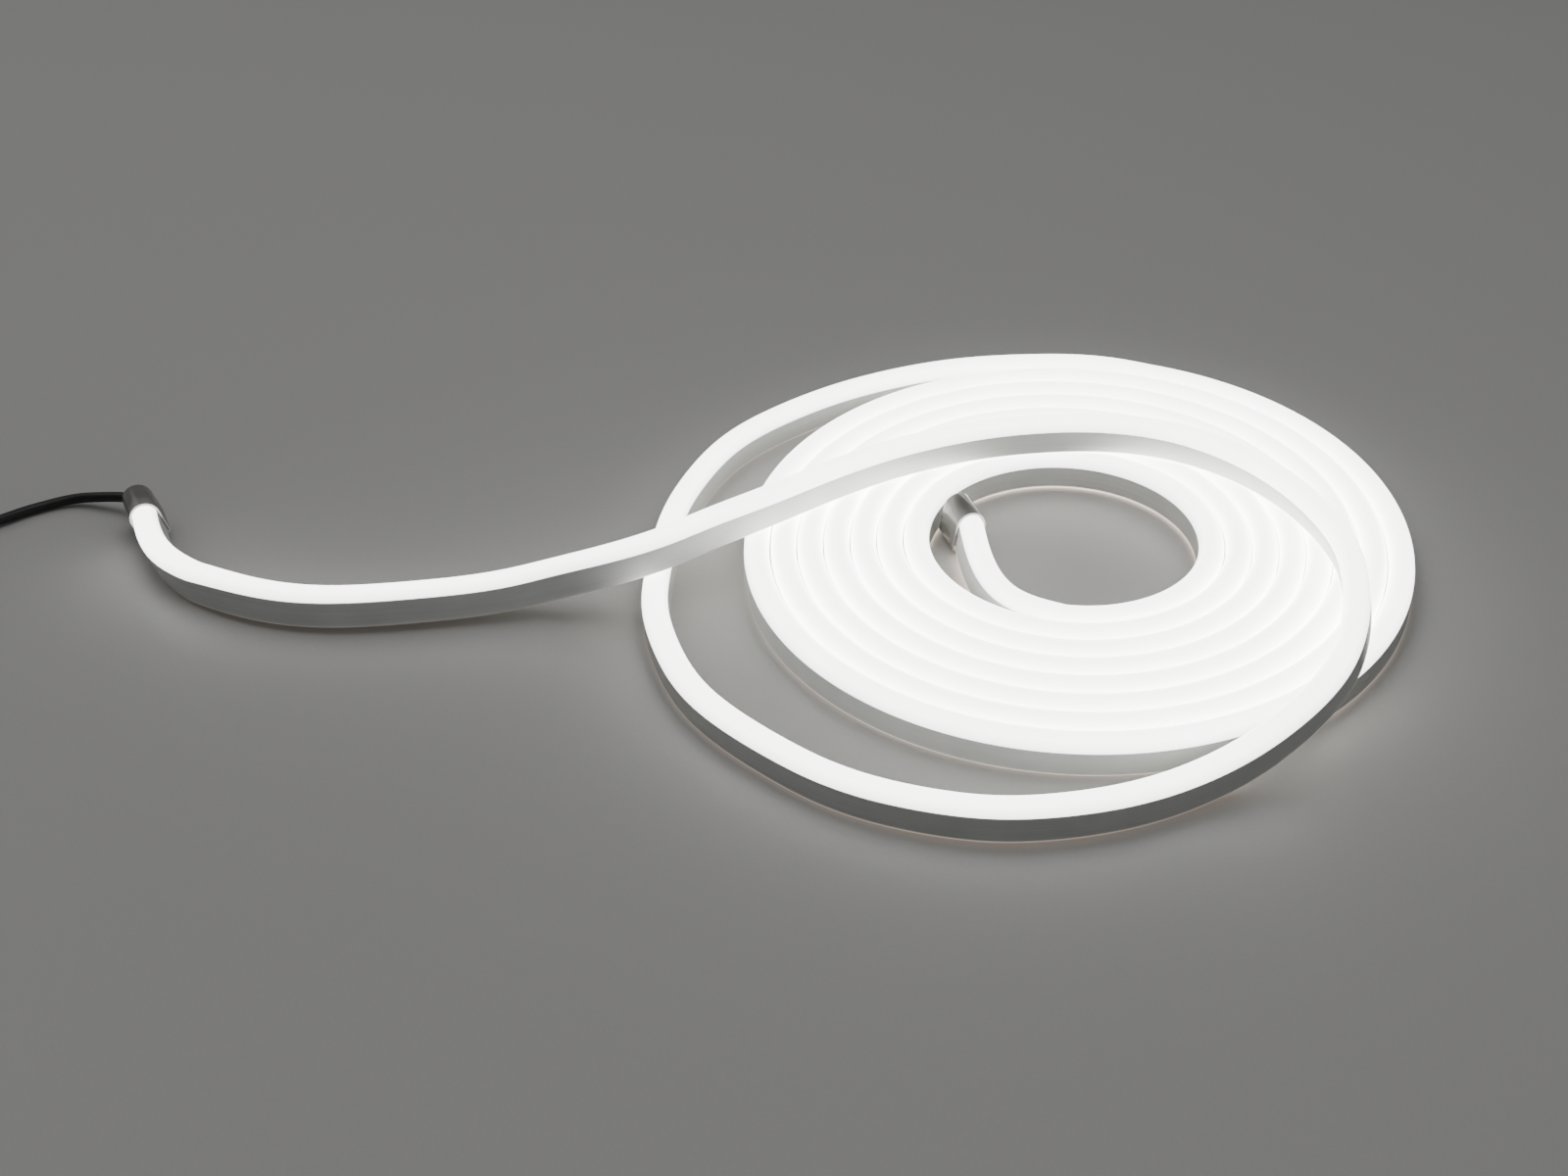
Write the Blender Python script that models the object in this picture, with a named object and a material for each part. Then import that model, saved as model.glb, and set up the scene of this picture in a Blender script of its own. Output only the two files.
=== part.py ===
"""LED neon flex: five metres of lit flexible strip in a loose flat spiral, with an end cap on each end
and a thin black lead. Metres, +Z up, the underside at Z = 0."""
import math

import bmesh
import bpy
from mathutils import Matrix, Vector

# Lengths are written in millimetres and turned to metres by this factor; angles are in degrees
MM = 0.001

# The strip's section: an opaque channel with flat sides and a domed milky face on top
FLEX_WIDTH = 8.6
SIDE_HEIGHT = 8.7
DOME_HEIGHT = 4.6
FOOT_BEVEL = 0.8
DOME_STEPS = 5
SEAM_GAP = 0.3
FLEX_HEIGHT = SIDE_HEIGHT + DOME_HEIGHT

# The spiral, from its inner end outwards and counter-clockwise: radius at angle 0 and growth per turn
TURN_GAP = 0.8
COIL_RADIUS = 39.4
COIL_PITCH = FLEX_WIDTH + TURN_GAP
COIL_TURNS = 8
COIL_RIM = COIL_RADIUS + COIL_PITCH * COIL_TURNS
COIL_START = 262
COIL_END = 2950
STATIONS_PER_TURN = 45
# The coil is a little oval, and its outer turns more so: cosine and sine of twice the angle
OVAL = (-0.45, -0.2)
OVAL_GROWTH = (-2.25, 2.8)
# How far the inner end of the spiral is off the middle of its outer turns
DRIFT = (-0.4, -1.8)
# The last loop lies across the coil, this far above the domes
STACK_GAP = 0.4
TOP = FLEX_HEIGHT + STACK_GAP

# The middle of the coil, placed so that the box around strip and caps is centred on the origin
COIL_MIDDLE = (106.55, 12.75)

# Route points around the coil's middle. Each has an angle, a distance outside the coil's inner radius
# or its rim, the height of the lowest edge as a share of TOP, and a roll, which is positive where the
# top leans to the right of the way that the route goes.
INNER_HEADING = 106
INNER_ROLL = 9.5
INNER_RUN = [
    (191.0, -4.3, 0.06, -10), (206.8, -2.5, 0.035, -8), (221.6, 0.7, 0.015, -4.4), (234.8, 3.9, 0, -2.3),
    (244.8, 6.6, 0, -1.4), (253.4, 8.3, 0, -0.5)]
OUTER_RUN = [
    (80.5, 7.1, 0, 0), (95.7, 6.5, 0, -3), (111.7, 8.0, 0, -6.7), (130.9, 11.4, 0, -5.2),
    (151.3, 17.9, 0, -2.3), (170.6, 21.4, 0, 1.3), (188.1, 26.7, 0, 2.3), (199.8, 32.8, 0, 4.1),
    (213.9, 38.2, 0, 5.3), (226.8, 39.4, 0, 2.6), (240.9, 40.4, 0, -2), (255.4, 36.8, 0, -5.1),
    (268.5, 27.9, 0, -4.2), (278.6, 19.8, 0.03, -3.1), (286.1, 15.6, 0.23, -1.8), (293.3, 12.5, 0.58, 0),
    (300.5, 8.9, 0.93, -0.3), (309.2, 2.5, 1.02, -4.4), (323.7, -9.3, 1, -9.3), (340.8, -20.4, 1, -13.4),
    (354.3, -29.2, 1, -15.6), (7.6, -36.5, 1, -16.1), (24.3, -44.2, 1, -14.3), (41.6, -50.9, 1, -10),
    (59.8, -56.8, 1, -5.7), (79.1, -61.4, 1, -2.5), (98.9, -62.9, 1, -0.5), (119.7, -60.0, 1, 0),
    (140.3, -52.3, 1, 0), (155.2, -42.0, 1, 0.5), (167.6, -29.0, 1, 1.2), (176.9, -14.3, 1, 2.4),
    (182.4, -1.6, 1, 4.6), (187.1, 13.1, 1, 8.4), (190.6, 25.9, 1.01, 9.6), (191.3, 32.8, 1, 10.7),
    (191.9, 39.7, 0.905, 12), (191.8, 46.6, 0.775, 12.3), (191.2, 53.1, 0.62, 12.8),
    (190.7, 60.0, 0.46, 13.4), (190.4, 67.4, 0.31, 13.9), (190.1, 84.3, 0.09, 15.4),
    (190.0, 100.5, 0.03, 16.6), (189.85, 116.6, 0.015, 16.7), (189.55, 129.7, 0, 16.2),
    (188.95, 142.5, 0, 15.1), (188.0, 154.9, 0, 12.4), (186.7, 166.8, 0.02, 10.3),
    (185.25, 177.0, 0.05, 4.1), (183.6, 185.9, 0.08, -7), (181.7, 193.5, 0.11, -18.3)]
OUTER_MOUTH = (178.15, 201.8)
OUTER_HEADING = 113.5
OUTER_ROLL = -19
ROUTE_STEP = 9.5

# End caps: a sleeve with a closed back, a wall thick and a clearance wider than the strip
CAP_LENGTH = 14.5
CAP_WALL = 0.7
CAP_CLEARANCE = 0.3
CAP_POCKET = 11
CAP_SKIN = CAP_WALL + CAP_CLEARANCE
CAP_EDGE = 0.25
CAP_EDGE_ANGLE = 40
POCKET_MOUTH = 1
# The inner cap's back corner comes this close to the coil's first whole turn, at this angle of it
CAP_TO_TURN = 0.35
CORNER_ANGLE = 518.6

# The black lead, from the outer cap to a plug, with the length that isn't in use wound in a coil.
# Its points are seen from the outer cap's mouth: across, away and up.
LEAD_DIAMETER = 3.6
LEAD_HEIGHT_IN_CAP = 4.6
LEAD_STRAIGHT = 2.5
FACE_GAP = 0.3
LEAD_POINTS = [
    (-14.5, 19.8, 6.2), (-19.2, 21.2, 5.3), (-24.7, 23.0, 4.3), (-30.4, 24.2, 3.2), (-35.4, 24.9, 2.4),
    (-43.1, 21.7, 1.9), (-51.0, 17.2, 1.9), (-58.1, 11.2, 2.1), (-64.8, 7.5, 2.6)]
LEAD_STEP = 8.0
LEAD_COIL_MIDDLE = (-87.8, -15.2)
LEAD_COIL_RADIUS = 20
LEAD_COIL_WIDTH = 7.5
LEAD_COIL_HEIGHT = 7.5
LEAD_COIL_BEVEL = 1.2
LEAD_COIL_SEGMENTS = 48
# The lead's end meets the ring of turns at this angle and height, so far off the ring's outer edge
LEAD_END_ANGLE = 53.4
LEAD_END_OFF = 1.25
LEAD_END_HEIGHT = 2.9
TIE_THICKNESS = 0.8
TIE_WIDTH = 5.0
TIE_CLEARANCE = 0.3
TIE_REACH = TIE_THICKNESS + TIE_CLEARANCE
TIE_ANGLE = -40
PLUG_SEGMENTS = 24
PLUG_LENGTH = 27
PLUG_DIAMETER = 9.5
PLUG_NECK = 5.2
PLUG_NECK_LENGTH = 5
PLUG_SHOULDER = 11
PLUG_FLARE = 0.4
PLUG_EDGE = 0.8
BARREL_DIAMETER = 5.5
BARREL_LENGTH = 9.5
BARREL_EDGE = 0.4


def remove_everything():
    for obj in list(bpy.data.objects):
        bpy.data.objects.remove(obj, do_unlink=True)


def linear(channel):
    return channel / 12.92 if channel <= 0.04045 else ((channel + 0.055) / 1.055) ** 2.4


def material(name, colour, roughness, metallic=0.0, glow=0.0, alpha=1.0):
    """A Principled material from an sRGB hex colour."""
    rgb = [linear(int(colour[i:i + 2], 16) / 255) for i in (0, 2, 4)]
    result = bpy.data.materials.new(name)
    result.use_nodes = True
    shader = result.node_tree.nodes["Principled BSDF"]
    shader.inputs["Base Color"].default_value = (*rgb, 1)
    shader.inputs["Roughness"].default_value = roughness
    shader.inputs["Metallic"].default_value = metallic
    shader.inputs["Alpha"].default_value = alpha
    shader.inputs["Emission Color"].default_value = (*rgb, 1)
    shader.inputs["Emission Strength"].default_value = glow
    return result


def link(obj, surface=None):
    bpy.context.collection.objects.link(obj)
    if surface:
        obj.data.materials.append(surface)
    return obj


def guide(obj):
    """Marks a cutter or an outline, which isn't part of the object."""
    obj.hide_render = True
    obj.display_type = "WIRE"
    return obj


def poly_curve(name, points, closed=False):
    """A curve of straight pieces through points in millimetres, each with an optional tilt in degrees."""
    data = bpy.data.curves.new(name, "CURVE")
    data.dimensions = "2D" if closed else "3D"
    spline = data.splines.new("POLY")
    spline.points.add(len(points) - 1)
    spline.use_cyclic_u = closed
    for target, (x, y, z, tilt) in zip(spline.points, points):
        target.co = (x * MM, y * MM, z * MM, 1)
        target.tilt = math.radians(tilt)
    return bpy.data.objects.new(name, data)


def on_coil(angle):
    """A point of the spiral's middle line, at an angle in radians."""
    turns = angle / math.tau
    share = turns / COIL_TURNS
    radius = COIL_RADIUS + COIL_PITCH * turns
    radius += (OVAL[0] + share * OVAL_GROWTH[0]) * math.cos(2 * angle)
    radius += (OVAL[1] + share * OVAL_GROWTH[1]) * math.sin(2 * angle)
    x = radius * math.cos(angle) + (1 - share) * DRIFT[0]
    y = radius * math.sin(angle) + (1 - share) * DRIFT[1]
    return x, y, 0, 0


def smooth_line(points, step, lead_in=0, lead_out=0):
    """Points about a step apart on a Catmull-Rom curve through the given points, its ends included.

    The first and last points may be there for the curve's direction only: lead_in and lead_out of them.
    """
    line = []
    for index in range(lead_in, len(points) - 1 - lead_out):
        near = [Vector(points[max(0, min(len(points) - 1, index + k))]) for k in (-1, 0, 1, 2)]
        before, start, end, after = near
        count = max(1, round((end - start).to_3d().length / step))
        for part in range(count):
            t = part / count
            point = 0.5 * (2 * start + (end - before) * t
                           + (2 * before - 5 * start + 4 * end - after) * t ** 2
                           + (3 * start - before - 3 * end + after) * t ** 3)
            line.append((point[0], point[1], max(0, point[2]), *point[3:]))
    line.append(tuple(points[len(points) - 1 - lead_out]))
    return line


def around(radius, points):
    """Turns an angle and a distance outside a radius into X and Y from the coil's middle."""
    turned_points = []
    for angle, distance, *rest in points:
        reach = radius + distance
        x = reach * math.cos(math.radians(angle))
        y = reach * math.sin(math.radians(angle))
        turned_points.append((x, y, *rest))
    return turned_points


def raised(points):
    """Turns the share of TOP into a height."""
    return [(x, y, share * TOP, roll) for x, y, share, roll in points]


def edge_lift(roll):
    """How far the underside's middle stands above its lower edge."""
    return FLEX_WIDTH / 2 * abs(math.sin(math.radians(roll)))


def in_cap(mouth, heading, roll, depth):
    """The strip's lower edge a depth inside a cap that rests on the floor."""
    x = mouth[0] + depth * math.cos(math.radians(heading))
    y = mouth[1] + depth * math.sin(math.radians(heading))
    angle = abs(math.radians(roll))
    return x, y, CAP_SKIN * (math.sin(angle) + math.cos(angle)), roll


def place(points):
    """Moves points from the coil's middle to the object's origin."""
    return [(x + COIL_MIDDLE[0], y + COIL_MIDDLE[1], *rest) for x, y, *rest in points]


def inner_mouth():
    """The inner cap's mouth, placed from the cap's back corner."""
    turn = math.radians(CORNER_ANGLE)
    x, y, *_ = on_coil(turn)
    inwards = FLEX_WIDTH / 2 + CAP_TO_TURN
    corner = Vector((x - inwards * math.cos(turn), y - inwards * math.sin(turn)))
    roll = math.radians(INNER_ROLL)
    reach = (FLEX_WIDTH / 2 + CAP_SKIN) * math.cos(roll) + CAP_SKIN * math.sin(roll)
    heading = math.radians(INNER_HEADING)
    ahead = Vector((math.cos(heading), math.sin(heading)))
    left = Vector((-ahead.y, ahead.x))
    return tuple(corner - CAP_LENGTH * ahead - reach * left)


def outer_mouth():
    return around(COIL_RIM, [OUTER_MOUTH])[0]


def from_outer_mouth(points):
    """Moves points from the outer cap's mouth to the object's origin."""
    mouth_x, mouth_y = place([outer_mouth()])[0]
    return [(x + mouth_x, y + mouth_y, *rest) for x, y, *rest in points]


def flex_route():
    """The underside's middle line and roll from the inner end to the outer one."""
    end = CAP_POCKET - CAP_CLEARANCE
    inner = [in_cap(inner_mouth(), INNER_HEADING, -INNER_ROLL, depth) for depth in (end, -CAP_CLEARANCE)]
    outer = [in_cap(outer_mouth(), OUTER_HEADING, OUTER_ROLL, depth) for depth in (-CAP_CLEARANCE, end)]
    count = round((COIL_END - COIL_START) / 360 * STATIONS_PER_TURN)
    step = (COIL_END - COIL_START) / count
    coil = [on_coil(math.radians(COIL_START + step * index)) for index in range(count + 1)]
    inner_run = raised(around(COIL_RADIUS, INNER_RUN))
    outer_run = raised(around(COIL_RIM, OUTER_RUN))
    start = smooth_line(inner + inner_run + coil[:2], ROUTE_STEP, lead_in=1, lead_out=1)
    finish = smooth_line(coil[-2:] + outer_run + outer, ROUTE_STEP, lead_in=1, lead_out=1)
    edges = place(inner[:1] + start[:-1] + coil[:-1] + finish + outer[-1:])
    return [(x, y, z + edge_lift(roll), roll) for x, y, z, roll in edges]


def dome(width, base, height, steps):
    """Points of a half ellipse from the right spring to the left one, in the section's plane."""
    arc = [math.pi * index / steps for index in range(steps + 1)]
    return [(width / 2 * math.cos(a), base + height * math.sin(a), 0, 0) for a in arc]


def jacket_outline():
    """The opaque channel, its two lower corners cut back."""
    half = FLEX_WIDTH / 2
    foot = half - FOOT_BEVEL
    return [(-foot, 0, 0, 0), (-half, FOOT_BEVEL, 0, 0), (-half, SIDE_HEIGHT, 0, 0),
            (half, SIDE_HEIGHT, 0, 0), (half, FOOT_BEVEL, 0, 0), (foot, 0, 0, 0)]


def face_outline():
    """The domed face, which stands a seam's width above the channel."""
    base = SIDE_HEIGHT + SEAM_GAP
    return list(reversed(dome(FLEX_WIDTH, base, FLEX_HEIGHT - base, DOME_STEPS)))


def sweep(name, outline, route, surface):
    """A closed body with one section all along a route, kept upright but for its roll."""
    section = guide(link(poly_curve(name + "_outline", outline, closed=True)))
    body = poly_curve(name, route)
    body.data.bevel_mode = "OBJECT"
    body.data.bevel_object = section
    body.data.use_fill_caps = True
    body.data.twist_mode = "Z_UP"
    return link(body, surface)


def arch_body(name, width, base, springing, crown, start, end):
    """An arched outline in Y and Z, extruded along X; all lengths in millimetres."""
    arch = dome(width, springing, crown - springing, 2 * DOME_STEPS)
    outline = [(-width / 2, base)] + [(width / 2, base)] + [(x, y) for x, y, *_ in arch]
    mesh = bpy.data.meshes.new(name)
    body = bmesh.new()
    verts = [body.verts.new((start * MM, x * MM, y * MM)) for x, y in outline]
    face = body.faces.new(verts)
    drawn = bmesh.ops.extrude_face_region(body, geom=[face])
    moved = [item for item in drawn["geom"] if isinstance(item, bmesh.types.BMVert)]
    bmesh.ops.translate(body, verts=moved, vec=((end - start) * MM, 0, 0))
    bmesh.ops.recalc_face_normals(body, faces=body.faces)
    body.to_mesh(mesh)
    body.free()
    return bpy.data.objects.new(name, mesh)


def end_cap(name, mouth, heading, roll, surface):
    """A sleeve over the strip's end, closed at its back, with its pocket cut out."""
    cap = arch_body(name, FLEX_WIDTH + 2 * CAP_SKIN, -CAP_SKIN, SIDE_HEIGHT, FLEX_HEIGHT + CAP_SKIN,
                    0, CAP_LENGTH)
    pocket = arch_body(name + "_pocket", FLEX_WIDTH + 2 * CAP_CLEARANCE, -CAP_CLEARANCE, SIDE_HEIGHT,
                       FLEX_HEIGHT + CAP_CLEARANCE, -POCKET_MOUTH, CAP_POCKET)
    edge = cap.modifiers.new("moulded edge", "BEVEL")
    edge.width = CAP_EDGE * MM
    edge.segments = 1
    edge.limit_method = "ANGLE"
    edge.angle_limit = math.radians(CAP_EDGE_ANGLE)
    cut = cap.modifiers.new("pocket", "BOOLEAN")
    cut.operation = "DIFFERENCE"
    cut.object = guide(link(pocket))
    x, y, z, _ = place([in_cap(mouth, heading, roll, 0)])[0]
    stand = (Matrix.Translation(Vector((x, y, z + edge_lift(roll))) * MM)
             @ Matrix.Rotation(math.radians(heading), 4, "Z")
             @ Matrix.Rotation(math.radians(roll), 4, "X"))
    cap.matrix_world = stand
    pocket.matrix_world = stand
    return link(cap, surface), stand


def tube(name, points, diameter, surface):
    """A round cord through points, with closed ends."""
    cord = poly_curve(name, [(*point, 0) for point in points])
    cord.data.bevel_depth = diameter / 2 * MM
    cord.data.bevel_resolution = 2
    cord.data.use_fill_caps = True
    return link(cord, surface)


def turned(name, profile, segments, surface):
    """A body turned about Z from a closed outline of radius and height, or from one that ends on Z."""
    mesh = bpy.data.meshes.new(name)
    body = bmesh.new()
    verts = [body.verts.new((radius * MM, 0, height * MM)) for radius, height in profile]
    edges = [body.edges.new(pair) for pair in zip(verts, verts[1:])]
    if profile[0][0] > 0:
        edges.append(body.edges.new((verts[-1], verts[0])))
    bmesh.ops.spin(body, geom=verts + edges, cent=(0, 0, 0), axis=(0, 0, 1), angle=math.tau,
                   steps=segments, use_merge=True)
    bmesh.ops.remove_doubles(body, verts=body.verts, dist=0.001 * MM)
    bmesh.ops.recalc_face_normals(body, faces=body.faces)
    body.to_mesh(mesh)
    body.free()
    return link(bpy.data.objects.new(name, mesh), surface)


def rounded_box(width, height, base, bevel):
    """An octagonal outline about the origin, as pairs of across and up."""
    half = width / 2
    top = base + height
    return [(-half + bevel, base), (half - bevel, base), (half, base + bevel), (half, top - bevel),
            (half - bevel, top), (-half + bevel, top), (-half, top - bevel), (-half, base + bevel)]


def lead_coil(surface):
    """The ring that the lead's spare turns fill, standing on its tie."""
    outline = rounded_box(LEAD_COIL_WIDTH, LEAD_COIL_HEIGHT, TIE_REACH, LEAD_COIL_BEVEL)
    ring = turned("lead_coil", [(LEAD_COIL_RADIUS + x, z) for x, z in outline], LEAD_COIL_SEGMENTS,
                  surface)
    x, y = from_outer_mouth([LEAD_COIL_MIDDLE])[0]
    ring.location = (x * MM, y * MM, 0)
    return ring


def box_along(name, grown, length):
    """The coil's outline made larger all round, extruded across the turns about the origin."""
    outline = rounded_box(LEAD_COIL_WIDTH + 2 * grown, LEAD_COIL_HEIGHT + 2 * grown, TIE_REACH - grown,
                          LEAD_COIL_BEVEL)
    mesh = bpy.data.meshes.new(name)
    body = bmesh.new()
    verts = [body.verts.new((x * MM, -length / 2 * MM, z * MM)) for x, z in outline]
    drawn = bmesh.ops.extrude_face_region(body, geom=[body.faces.new(verts)])
    moved = [item for item in drawn["geom"] if isinstance(item, bmesh.types.BMVert)]
    bmesh.ops.translate(body, verts=moved, vec=(0, length * MM, 0))
    bmesh.ops.recalc_face_normals(body, faces=body.faces)
    body.to_mesh(mesh)
    body.free()
    return bpy.data.objects.new(name, mesh)


def lead_tie(surface):
    """A flat band around the coil's turns, cut through by the space that they fill."""
    band = box_along("lead_tie", TIE_REACH, TIE_WIDTH)
    hole = box_along("lead_tie_hole", TIE_CLEARANCE, 2 * TIE_WIDTH)
    cut = band.modifiers.new("turns", "BOOLEAN")
    cut.operation = "DIFFERENCE"
    cut.object = guide(link(hole))
    angle = math.radians(TIE_ANGLE)
    x, y = from_outer_mouth([LEAD_COIL_MIDDLE])[0]
    middle = Vector((x + LEAD_COIL_RADIUS * math.cos(angle), y + LEAD_COIL_RADIUS * math.sin(angle), 0))
    stand = Matrix.Translation(middle * MM) @ Matrix.Rotation(angle, 4, "Z")
    band.matrix_world = stand
    hole.matrix_world = stand
    return link(band, surface)


def lead_points(stand):
    """The lead's middle line from the outer cap's back face, straight out at first, to the coil."""
    start = CAP_LENGTH + FACE_GAP
    ahead = (start, start + LEAD_STRAIGHT)
    straight = [stand @ Vector((x * MM, 0, LEAD_HEIGHT_IN_CAP * MM)) / MM for x in ahead]
    angle = math.radians(LEAD_END_ANGLE)
    reach = LEAD_COIL_RADIUS + LEAD_COIL_WIDTH / 2 + LEAD_END_OFF
    end = (LEAD_COIL_MIDDLE[0] + reach * math.cos(angle), LEAD_COIL_MIDDLE[1] + reach * math.sin(angle),
           LEAD_END_HEIGHT)
    seen = from_outer_mouth(LEAD_POINTS + [end])
    return smooth_line([tuple(point) for point in straight] + seen, LEAD_STEP)


def plug(body_surface, metal):
    """A moulded plug on the coil's left side, lying on the floor, and its metal barrel."""
    half = PLUG_DIAMETER / 2
    neck = PLUG_NECK / 2
    outline = [(0, 0), (neck, 0), (neck + PLUG_FLARE, PLUG_NECK_LENGTH), (half, PLUG_SHOULDER),
               (half, PLUG_LENGTH - PLUG_EDGE), (half - PLUG_EDGE, PLUG_LENGTH), (0, PLUG_LENGTH)]
    handle = turned("dc_plug", outline, PLUG_SEGMENTS, body_surface)
    sleeve = BARREL_DIAMETER / 2
    outline = [(0, 0), (sleeve, 0), (sleeve, BARREL_LENGTH - BARREL_EDGE),
               (sleeve - BARREL_EDGE, BARREL_LENGTH), (0, BARREL_LENGTH)]
    barrel = turned("dc_plug_barrel", outline, PLUG_SEGMENTS, metal)
    x, y = from_outer_mouth([LEAD_COIL_MIDDLE])[0]
    across = x - LEAD_COIL_RADIUS
    outer_edge = LEAD_COIL_RADIUS + LEAD_COIL_WIDTH / 2
    start = y - math.sqrt(outer_edge ** 2 - (LEAD_COIL_RADIUS - neck - FACE_GAP) ** 2)
    lying = Matrix.Rotation(math.radians(90), 4, "X")
    handle.matrix_world = Matrix.Translation(Vector((across, start, half)) * MM) @ lying
    tip = start - PLUG_LENGTH - FACE_GAP
    barrel.matrix_world = Matrix.Translation(Vector((across, tip, half)) * MM) @ lying
    return handle, barrel


def build():
    remove_everything()
    white = material("white jacket", "D9D9D6", 0.5)
    milky = material("milky lit face", "FBFBFA", 0.4, glow=1.0)
    frosted = material("frosted clear plastic", "B9BAB8", 0.3, alpha=0.6)
    black = material("black lead", "0E0D0C", 0.5)
    steel = material("nickel plated barrel", "C9C7C2", 0.25, metallic=1.0)
    route = flex_route()
    sweep("jacket", jacket_outline(), route, white)
    sweep("diffuser", face_outline(), route, milky)
    end_cap("end_cap", inner_mouth(), INNER_HEADING, INNER_ROLL, frosted)
    _, stand = end_cap("feed_cap", outer_mouth(), OUTER_HEADING, OUTER_ROLL, frosted)
    tube("lead", lead_points(stand), LEAD_DIAMETER, black)
    lead_coil(black)
    lead_tie(black)
    plug(black, steel)


build()
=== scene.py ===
"""The looks of a lit LED neon flex, lying in a loose flat coil on a pale floor. Metres, +Z up."""
import math

import bmesh
import bpy
from mathutils import Matrix, Vector


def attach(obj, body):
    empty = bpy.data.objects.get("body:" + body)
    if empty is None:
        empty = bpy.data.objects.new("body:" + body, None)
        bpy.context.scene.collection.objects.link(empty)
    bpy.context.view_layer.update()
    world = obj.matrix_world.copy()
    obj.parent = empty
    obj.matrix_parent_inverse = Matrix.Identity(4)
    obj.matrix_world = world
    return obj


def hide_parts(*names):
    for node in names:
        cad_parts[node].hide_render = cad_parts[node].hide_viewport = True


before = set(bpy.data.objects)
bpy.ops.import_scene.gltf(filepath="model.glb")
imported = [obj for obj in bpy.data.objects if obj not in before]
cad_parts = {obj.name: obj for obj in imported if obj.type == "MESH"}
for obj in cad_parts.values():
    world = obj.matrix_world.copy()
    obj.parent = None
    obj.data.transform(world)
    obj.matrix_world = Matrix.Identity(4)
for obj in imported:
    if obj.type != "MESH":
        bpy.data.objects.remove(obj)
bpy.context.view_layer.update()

# Lengths are written in millimetres and turned to metres by this factor; angles are in degrees
MM = 0.001

# The camera, fitted to edges in the photograph: the point on the floor that it looks at, how far
# off it is, how far above the horizon, its focal length and its sensor's width
CAMERA_TARGET = (8.3, -5.05, 0)
CAMERA_DISTANCE = 790.8
CAMERA_ELEVATION = 34.36
CAMERA_LENS = 53.63
CAMERA_SENSOR = 36

# The studio, in metres and watts: each soft light's place, side and power, the point they face, the
# plain sky's level, and the floor, which lies a hair under the object so that no two faces meet
TOP_LIGHT = ((0.05, 0.15, 1.5), 1.3, 5.5)
SIDE_LIGHT = ((-1.2, 0.7, 1.0), 0.9, 2)
LIGHTS_AIM = (0.08, 0, 0)
SKY_LEVEL = 0.16
FLOOR_REACH = 6
FLOOR_DROP = 0.0002

# How bright the lit face is, the painted glow at the jacket's foot and between the turns,
# and the painted glow at the caps' rims
LIT_LEVEL = 6.0
PAINTED_GLOW_LEVEL = 2.2
PAINTED_RIM_LEVEL = 1.3

# How strongly each material bends light
SILICONE_IOR = 1.41
PVC_IOR = 1.53
PAPER_IOR = 1.45

# The strip's section, as in the CAD source: the jacket's sides, the domed face on top of them, the
# jacket's rounded edges below and above, and the hair's breadth between jacket and face
FLEX_WIDTH = 8.6
SIDE_HEIGHT = 8.7
DOME_HEIGHT = 4.6
FLEX_HEIGHT = SIDE_HEIGHT + DOME_HEIGHT
FOOT_RADIUS = 0.9
LIP_RADIUS = 0.25
SEAM = 0.03

# The coil and the route, as in the CAD source. The coil is an oval spiral, drawn in steps of a few
# degrees, and its first and last degrees give the runs at its ends their direction. A run's points
# are an angle, a distance outside the coil's inner or outer radius, a height as a share of TOP, and
# a roll. A heading is the way that a cap points, from its mouth to its back
TURN_GAP = 0.8
COIL_RADIUS = 39.4
COIL_PITCH = FLEX_WIDTH + TURN_GAP
COIL_TURNS = 8
COIL_RIM = COIL_RADIUS + COIL_PITCH * COIL_TURNS
COIL_START = 262
COIL_END = 2950
COIL_STEP = 2
COIL_LEAD_IN = 8
OVAL = (-0.45, -0.2)
OVAL_GROWTH = (-2.25, 2.8)
DRIFT = (-0.4, -1.8)
STACK_GAP = 0.4
TOP = FLEX_HEIGHT + STACK_GAP
COIL_MIDDLE = (106.55, 12.75)
INNER_HEADING = 106
INNER_ROLL = 9.5
INNER_RUN = [
    (191.0, -4.3, 0.06, -10), (206.8, -2.5, 0.035, -8), (221.6, 0.7, 0.015, -4.4),
    (234.8, 3.9, 0, -2.3), (244.8, 6.6, 0, -1.4), (253.4, 8.3, 0, -0.5)]
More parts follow.
